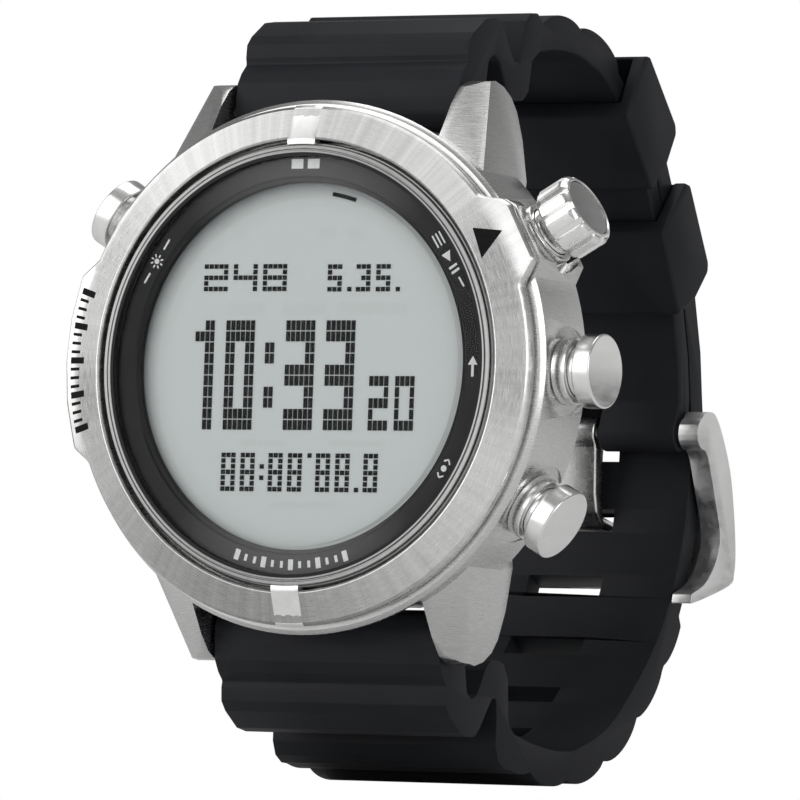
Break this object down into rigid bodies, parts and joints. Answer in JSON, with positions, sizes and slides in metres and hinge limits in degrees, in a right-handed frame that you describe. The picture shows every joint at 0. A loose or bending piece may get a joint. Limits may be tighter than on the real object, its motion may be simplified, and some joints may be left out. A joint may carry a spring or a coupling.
{
  "type": "dive computer",
  "caption": "Wrist dive computer: round steel case, digital display, ribbed and plain push buttons, ridged rubber strap with folded ends, keepers and a pin buckle.",
  "frame": {"origin": "centre of the case back's flat face", "axes": "+X towards 3 o'clock, +Z towards 12 o'clock, +Y out of the case back into the wrist; the dial faces -Y"},
  "size_m": [0.0545, 0.0643, 0.073],
  "materials": {
    "steel_case": "brushed",
    "steel_back": "satin",
    "steel_bezel": "circular brushed",
    "steel_polished": "polished",
    "steel_dark": "dark",
    "crystal_glass": "clear",
    "black_print": "gloss",
    "lcd_glass": "reflective grey-green",
    "white_plastic": "matte",
    "board_green": "solder mask",
    "chip_black": "matte",
    "cell_steel": "satin",
    "spring_bronze": "satin",
    "seal_black": "matte",
    "strap_rubber": "matte"
  },
  "bodies": {
    "case": {"mid_case": "steel_case", "case_back": "steel_back", "case_gasket": "seal_black", "case_screws": "steel_polished", "bezel": "steel_bezel", "bezel_bars": "steel_polished", "crystal_ring": "steel_dark", "crystal": "crystal_glass", "crystal_gasket": "seal_black", "mask_ring": "black_print", "lcd_panel": "lcd_glass", "light_guide": "white_plastic", "elastomer_strip": "seal_black", "module_frame": "white_plastic", "circuit_board": "board_green", "chips": "chip_black", "side_switches": "chip_black", "coin_cell": "cell_steel", "cell_clip": "spring_bronze", "buzzer_disc": "spring_bronze", "pressure_sensor": "steel_back", "sensor_seal": "seal_black", "sensor_grille": "steel_dark", "button_tubes": "steel_polished", "button_3_spring": "cell_steel", "button_4_spring": "cell_steel", "button_10_spring": "cell_steel", "crown_spring": "cell_steel", "bar_tube_12": "cell_steel", "bar_tube_6": "cell_steel", "bar_spring_12": "cell_steel", "bar_spring_6": "cell_steel"},
    "button_3": {"button_3": "steel_polished", "button_3_seal": "seal_black", "button_3_clip": "cell_steel"},
    "button_4": {"button_4": "steel_polished", "button_4_seal": "seal_black", "button_4_clip": "cell_steel"},
    "button_10": {"button_10": "steel_polished", "button_10_seal": "seal_black", "button_10_clip": "cell_steel"},
    "crown_stem": {"crown_stem": "steel_polished", "crown_seal": "seal_black", "crown_clip": "cell_steel"},
    "crown_cap": {"crown_cap": "steel_polished", "crown_inlay": "steel_dark"},
    "bar_tip_12_right": {"bar_tip_12_right": "cell_steel"},
    "bar_tip_12_left": {"bar_tip_12_left": "cell_steel"},
    "bar_tip_6_right": {"bar_tip_6_right": "cell_steel"},
    "bar_tip_6_left": {"bar_tip_6_left": "cell_steel"},
    "short_end": {"strap_short_end": "strap_rubber"},
    "strap_back": {"strap_short": "strap_rubber", "strap_long": "strap_rubber"},
    "long_end": {"strap_long_end": "strap_rubber"},
    "keeper_upper": {"keeper_upper": "strap_rubber"},
    "keeper_lower": {"keeper_lower": "strap_rubber"},
    "buckle": {"buckle_frame": "steel_polished", "buckle_pin": "steel_polished"},
    "tongue": {"buckle_tongue": "steel_polished"}
  },
  "joints": [
    {"name": "press_3", "type": "slide", "parent": "case", "child": "button_3", "axis": [-1, 0, 0], "range_m": [0, 0.0008], "stiffness_N_per_m": 600, "springref_m": -0.0015, "deforming": ["button_3_spring"]},
    {"name": "press_4", "type": "slide", "parent": "case", "child": "button_4", "axis": [-0.866, 0, 0.5], "range_m": [0, 0.0008], "stiffness_N_per_m": 600, "springref_m": -0.0015, "deforming": ["button_4_spring"]},
    {"name": "press_10", "type": "slide", "parent": "case", "child": "button_10", "axis": [0.848, 0, -0.5299], "range_m": [0, 0.0008], "stiffness_N_per_m": 600, "springref_m": -0.0015, "deforming": ["button_10_spring"]},
    {"name": "press_2", "type": "slide", "parent": "case", "child": "crown_stem", "axis": [-0.866, 0, -0.5], "range_m": [0, 0.0008], "stiffness_N_per_m": 600, "springref_m": -0.0015, "deforming": ["crown_spring"]},
    {"name": "crown_turn", "type": "hinge", "parent": "crown_stem", "child": "crown_cap", "pos_m": [0.02338, -0.0077, 0.0135], "axis": [0.866, 0, 0.5], "continuous": true},
    {"name": "tip_12_right_slide", "type": "slide", "parent": "case", "child": "bar_tip_12_right", "axis": [-1, 0, 0], "range_m": [0, 0.001], "stiffness_N_per_m": 400, "springref_m": -0.002, "deforming": ["bar_spring_12"]},
    {"name": "tip_12_left_slide", "type": "slide", "parent": "case", "child": "bar_tip_12_left", "axis": [1, 0, 0], "range_m": [0, 0.001], "stiffness_N_per_m": 400, "springref_m": -0.002, "deforming": ["bar_spring_12"]},
    {"name": "tip_6_right_slide", "type": "slide", "parent": "case", "child": "bar_tip_6_right", "axis": [-1, 0, 0], "range_m": [0, 0.001], "stiffness_N_per_m": 400, "springref_m": -0.002, "deforming": ["bar_spring_6"]},
    {"name": "tip_6_left_slide", "type": "slide", "parent": "case", "child": "bar_tip_6_left", "axis": [1, 0, 0], "range_m": [0, 0.001], "stiffness_N_per_m": 400, "springref_m": -0.002, "deforming": ["bar_spring_6"]},
    {"name": "strap_swing", "type": "hinge", "parent": "case", "child": "short_end", "pos_m": [0, -0.0049, 0.0244], "axis": [1, 0, 0], "range_deg": [-6, 6]},
    {"name": "top_flex", "type": "hinge", "parent": "short_end", "child": "strap_back", "pos_m": [0, 0.004, 0.0244], "axis": [1, 0, 0], "range_deg": [-6, 6]},
    {"name": "bottom_flex", "type": "hinge", "parent": "strap_back", "child": "long_end", "pos_m": [0, 0.004, -0.0244], "axis": [1, 0, 0], "range_deg": [-6, 6]},
    {"name": "keeper_upper_slide", "type": "slide", "parent": "strap_back", "child": "keeper_upper", "axis": [0, 0.6679, -0.7442], "range_m": [-0.0005, 0.0008]},
    {"name": "keeper_lower_slide", "type": "slide", "parent": "strap_back", "child": "keeper_lower", "axis": [0, 0.4878, -0.8729], "range_m": [-0.0004, 0.001]},
    {"name": "buckle_swing", "type": "hinge", "parent": "strap_back", "child": "buckle", "pos_m": [0, 0.041, -0.0026], "axis": [1, 0, 0], "range_deg": [-1.5, 2]},
    {"name": "tongue_swing", "type": "hinge", "parent": "buckle", "child": "tongue", "pos_m": [0, 0.041, -0.0026], "axis": [1, 0, 0], "range_deg": [0, 2.2]}
  ],
  "couplings": [
    {"joint": "top_flex", "follows": "strap_swing", "ratio": -1},
    {"joint": "bottom_flex", "follows": "strap_swing", "ratio": 1}
  ]
}
